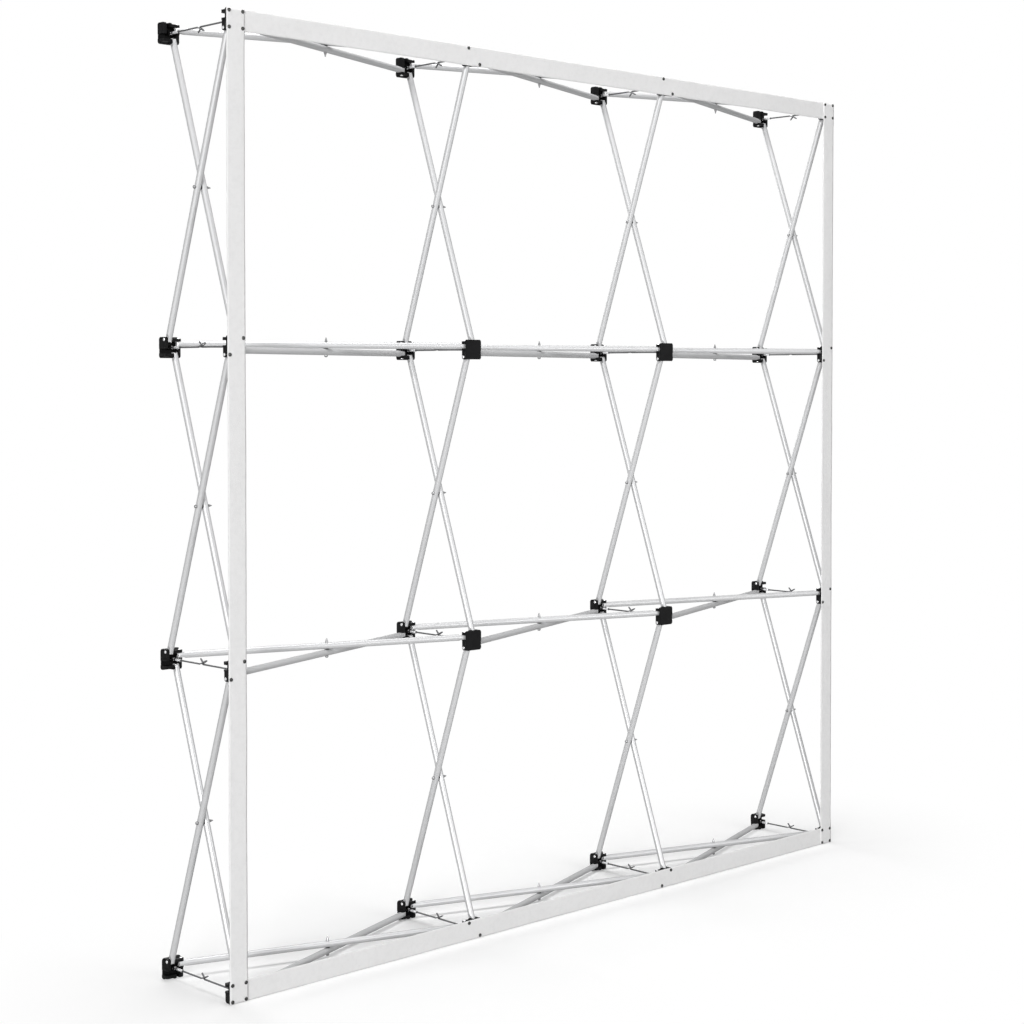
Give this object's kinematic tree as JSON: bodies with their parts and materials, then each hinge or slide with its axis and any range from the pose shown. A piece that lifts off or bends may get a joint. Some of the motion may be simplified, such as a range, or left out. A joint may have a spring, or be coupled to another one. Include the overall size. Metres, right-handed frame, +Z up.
{
  "type": "folding banner wall frame",
  "caption": "Straight folding banner wall frame: crossed aluminium tubes on black plastic hubs, hook-and-eye locks, and white loop-fabric bands round the front for a fabric banner.",
  "frame": {"origin": "on the floor, at the middle of the wall's width and of its whole depth", "axes": "+X along the width to the right seen from the front, +Y to the back, +Z up"},
  "size_m": [2.2723, 0.2772, 2.27],
  "materials": {
    "hub_plastic": "fine moulded texture",
    "tube_aluminium": "satin anodised",
    "rivet_aluminium": "bright",
    "washer_plastic": "plain",
    "pin_steel": "plated",
    "arm_steel": "drawn wire with a bright ribbed sleeve",
    "screw_steel": "nickel plated",
    "loop_fabric": "napped loop face"
  },
  "bodies": {
    "frame": {"front_hubs_row_1": "hub_plastic", "back_hubs_row_1": "hub_plastic", "front_hubs_row_2": "hub_plastic", "back_hubs_row_2": "hub_plastic", "front_hubs_row_3": "hub_plastic", "back_hubs_row_3": "hub_plastic", "front_hubs_row_4": "hub_plastic", "back_hubs_row_4": "hub_plastic", "row_1_tubes": "tube_aluminium", "row_2_tubes": "tube_aluminium", "row_3_tubes": "tube_aluminium", "row_4_tubes": "tube_aluminium", "column_1_tubes": "tube_aluminium", "column_2_tubes": "tube_aluminium", "column_3_tubes": "tube_aluminium", "column_4_tubes": "tube_aluminium", "front_hub_rivets": "rivet_aluminium", "back_hub_rivets": "rivet_aluminium", "row_cross_rivets": "rivet_aluminium", "column_cross_rivets": "rivet_aluminium", "cross_washers": "washer_plastic", "lock_pins": "pin_steel", "left_band": "loop_fabric", "right_band": "loop_fabric", "bottom_band": "loop_fabric", "top_band": "loop_fabric", "band_screws": "screw_steel"},
    "eye_arm_1_1": {"eye_arm_1_1": "arm_steel"},
    "hook_arm_1_1": {"hook_arm_1_1": "arm_steel"},
    "eye_arm_2_1": {"eye_arm_2_1": "arm_steel"},
    "hook_arm_2_1": {"hook_arm_2_1": "arm_steel"},
    "eye_arm_3_1": {"eye_arm_3_1": "arm_steel"},
    "hook_arm_3_1": {"hook_arm_3_1": "arm_steel"},
    "eye_arm_4_1": {"eye_arm_4_1": "arm_steel"},
    "hook_arm_4_1": {"hook_arm_4_1": "arm_steel"},
    "eye_arm_1_2": {"eye_arm_1_2": "arm_steel"},
    "hook_arm_1_2": {"hook_arm_1_2": "arm_steel"},
    "eye_arm_2_2": {"eye_arm_2_2": "arm_steel"},
    "hook_arm_2_2": {"hook_arm_2_2": "arm_steel"},
    "eye_arm_3_2": {"eye_arm_3_2": "arm_steel"},
    "hook_arm_3_2": {"hook_arm_3_2": "arm_steel"},
    "eye_arm_4_2": {"eye_arm_4_2": "arm_steel"},
    "hook_arm_4_2": {"hook_arm_4_2": "arm_steel"},
    "eye_arm_1_3": {"eye_arm_1_3": "arm_steel"},
    "hook_arm_1_3": {"hook_arm_1_3": "arm_steel"},
    "eye_arm_2_3": {"eye_arm_2_3": "arm_steel"},
    "hook_arm_2_3": {"hook_arm_2_3": "arm_steel"},
    "eye_arm_3_3": {"eye_arm_3_3": "arm_steel"},
    "hook_arm_3_3": {"hook_arm_3_3": "arm_steel"},
    "eye_arm_4_3": {"eye_arm_4_3": "arm_steel"},
    "hook_arm_4_3": {"hook_arm_4_3": "arm_steel"},
    "eye_arm_1_4": {"eye_arm_1_4": "arm_steel"},
    "hook_arm_1_4": {"hook_arm_1_4": "arm_steel"},
    "eye_arm_2_4": {"eye_arm_2_4": "arm_steel"},
    "hook_arm_2_4": {"hook_arm_2_4": "arm_steel"},
    "eye_arm_3_4": {"eye_arm_3_4": "arm_steel"},
    "hook_arm_3_4": {"hook_arm_3_4": "arm_steel"},
    "eye_arm_4_4": {"eye_arm_4_4": "arm_steel"},
    "hook_arm_4_4": {"hook_arm_4_4": "arm_steel"}
  },
  "joints": [
    {"name": "eye_arm_1_1_swing", "type": "hinge", "parent": "frame", "child": "eye_arm_1_1", "pos_m": [-1.11, 0.1226, 0.025], "axis": [-1, 0, 0], "range_deg": [0, 50]},
    {"name": "hook_arm_1_1_swing", "type": "hinge", "parent": "frame", "child": "hook_arm_1_1", "pos_m": [-1.11, -0.1174, 0.025], "axis": [-1, 0, 0], "range_deg": [0, 8]},
    {"name": "eye_arm_2_1_swing", "type": "hinge", "parent": "frame", "child": "eye_arm_2_1", "pos_m": [-0.37, 0.1226, 0.025], "axis": [-1, 0, 0], "range_deg": [0, 50]},
    {"name": "hook_arm_2_1_swing", "type": "hinge", "parent": "frame", "child": "hook_arm_2_1", "pos_m": [-0.37, -0.1174, 0.025], "axis": [-1, 0, 0], "range_deg": [0, 8]},
    {"name": "eye_arm_3_1_swing", "type": "hinge", "parent": "frame", "child": "eye_arm_3_1", "pos_m": [0.37, 0.1226, 0.025], "axis": [-1, 0, 0], "range_deg": [0, 50]},
    {"name": "hook_arm_3_1_swing", "type": "hinge", "parent": "frame", "child": "hook_arm_3_1", "pos_m": [0.37, -0.1174, 0.025], "axis": [-1, 0, 0], "range_deg": [0, 8]},
    {"name": "eye_arm_4_1_swing", "type": "hinge", "parent": "frame", "child": "eye_arm_4_1", "pos_m": [1.11, 0.1226, 0.025], "axis": [-1, 0, 0], "range_deg": [0, 50]},
    {"name": "hook_arm_4_1_swing", "type": "hinge", "parent": "frame", "child": "hook_arm_4_1", "pos_m": [1.11, -0.1174, 0.025], "axis": [-1, 0, 0], "range_deg": [0, 8]},
    {"name": "eye_arm_1_2_swing", "type": "hinge", "parent": "frame", "child": "eye_arm_1_2", "pos_m": [-1.11, 0.1226, 0.765], "axis": [-1, 0, 0], "range_deg": [0, 50]},
    {"name": "hook_arm_1_2_swing", "type": "hinge", "parent": "frame", "child": "hook_arm_1_2", "pos_m": [-1.11, -0.1174, 0.765], "axis": [-1, 0, 0], "range_deg": [0, 50]},
    {"name": "eye_arm_2_2_swing", "type": "hinge", "parent": "frame", "child": "eye_arm_2_2", "pos_m": [-0.37, 0.1226, 0.765], "axis": [-1, 0, 0], "range_deg": [0, 50]},
    {"name": "hook_arm_2_2_swing", "type": "hinge", "parent": "frame", "child": "hook_arm_2_2", "pos_m": [-0.37, -0.1174, 0.765], "axis": [-1, 0, 0], "range_deg": [0, 50]},
    {"name": "eye_arm_3_2_swing", "type": "hinge", "parent": "frame", "child": "eye_arm_3_2", "pos_m": [0.37, 0.1226, 0.765], "axis": [-1, 0, 0], "range_deg": [0, 50]},
    {"name": "hook_arm_3_2_swing", "type": "hinge", "parent": "frame", "child": "hook_arm_3_2", "pos_m": [0.37, -0.1174, 0.765], "axis": [-1, 0, 0], "range_deg": [0, 50]},
    {"name": "eye_arm_4_2_swing", "type": "hinge", "parent": "frame", "child": "eye_arm_4_2", "pos_m": [1.11, 0.1226, 0.765], "axis": [-1, 0, 0], "range_deg": [0, 50]},
    {"name": "hook_arm_4_2_swing", "type": "hinge", "parent": "frame", "child": "hook_arm_4_2", "pos_m": [1.11, -0.1174, 0.765], "axis": [-1, 0, 0], "range_deg": [0, 50]},
    {"name": "eye_arm_1_3_swing", "type": "hinge", "parent": "frame", "child": "eye_arm_1_3", "pos_m": [-1.11, 0.1226, 1.505], "axis": [-1, 0, 0], "range_deg": [0, 50]},
    {"name": "hook_arm_1_3_swing", "type": "hinge", "parent": "frame", "child": "hook_arm_1_3", "pos_m": [-1.11, -0.1174, 1.505], "axis": [-1, 0, 0], "range_deg": [0, 50]},
    {"name": "eye_arm_2_3_swing", "type": "hinge", "parent": "frame", "child": "eye_arm_2_3", "pos_m": [-0.37, 0.1226, 1.505], "axis": [-1, 0, 0], "range_deg": [0, 50]},
    {"name": "hook_arm_2_3_swing", "type": "hinge", "parent": "frame", "child": "hook_arm_2_3", "pos_m": [-0.37, -0.1174, 1.505], "axis": [-1, 0, 0], "range_deg": [0, 50]},
    {"name": "eye_arm_3_3_swing", "type": "hinge", "parent": "frame", "child": "eye_arm_3_3", "pos_m": [0.37, 0.1226, 1.505], "axis": [-1, 0, 0], "range_deg": [0, 50]},
    {"name": "hook_arm_3_3_swing", "type": "hinge", "parent": "frame", "child": "hook_arm_3_3", "pos_m": [0.37, -0.1174, 1.505], "axis": [-1, 0, 0], "range_deg": [0, 50]},
    {"name": "eye_arm_4_3_swing", "type": "hinge", "parent": "frame", "child": "eye_arm_4_3", "pos_m": [1.11, 0.1226, 1.505], "axis": [-1, 0, 0], "range_deg": [0, 50]},
    {"name": "hook_arm_4_3_swing", "type": "hinge", "parent": "frame", "child": "hook_arm_4_3", "pos_m": [1.11, -0.1174, 1.505], "axis": [-1, 0, 0], "range_deg": [0, 50]},
    {"name": "eye_arm_1_4_swing", "type": "hinge", "parent": "frame", "child": "eye_arm_1_4", "pos_m": [-1.11, 0.1226, 2.245], "axis": [1, 0, 0], "range_deg": [0, 50]},
    {"name": "hook_arm_1_4_swing", "type": "hinge", "parent": "frame", "child": "hook_arm_1_4", "pos_m": [-1.11, -0.1174, 2.245], "axis": [1, 0, 0], "range_deg": [0, 50]},
    {"name": "eye_arm_2_4_swing", "type": "hinge", "parent": "frame", "child": "eye_arm_2_4", "pos_m": [-0.37, 0.1226, 2.245], "axis": [1, 0, 0], "range_deg": [0, 50]},
    {"name": "hook_arm_2_4_swing", "type": "hinge", "parent": "frame", "child": "hook_arm_2_4", "pos_m": [-0.37, -0.1174, 2.245], "axis": [1, 0, 0], "range_deg": [0, 50]},
    {"name": "eye_arm_3_4_swing", "type": "hinge", "parent": "frame", "child": "eye_arm_3_4", "pos_m": [0.37, 0.1226, 2.245], "axis": [1, 0, 0], "range_deg": [0, 50]},
    {"name": "hook_arm_3_4_swing", "type": "hinge", "parent": "frame", "child": "hook_arm_3_4", "pos_m": [0.37, -0.1174, 2.245], "axis": [1, 0, 0], "range_deg": [0, 50]},
    {"name": "eye_arm_4_4_swing", "type": "hinge", "parent": "frame", "child": "eye_arm_4_4", "pos_m": [1.11, 0.1226, 2.245], "axis": [1, 0, 0], "range_deg": [0, 50]},
    {"name": "hook_arm_4_4_swing", "type": "hinge", "parent": "frame", "child": "hook_arm_4_4", "pos_m": [1.11, -0.1174, 2.245], "axis": [1, 0, 0], "range_deg": [0, 50]}
  ]
}
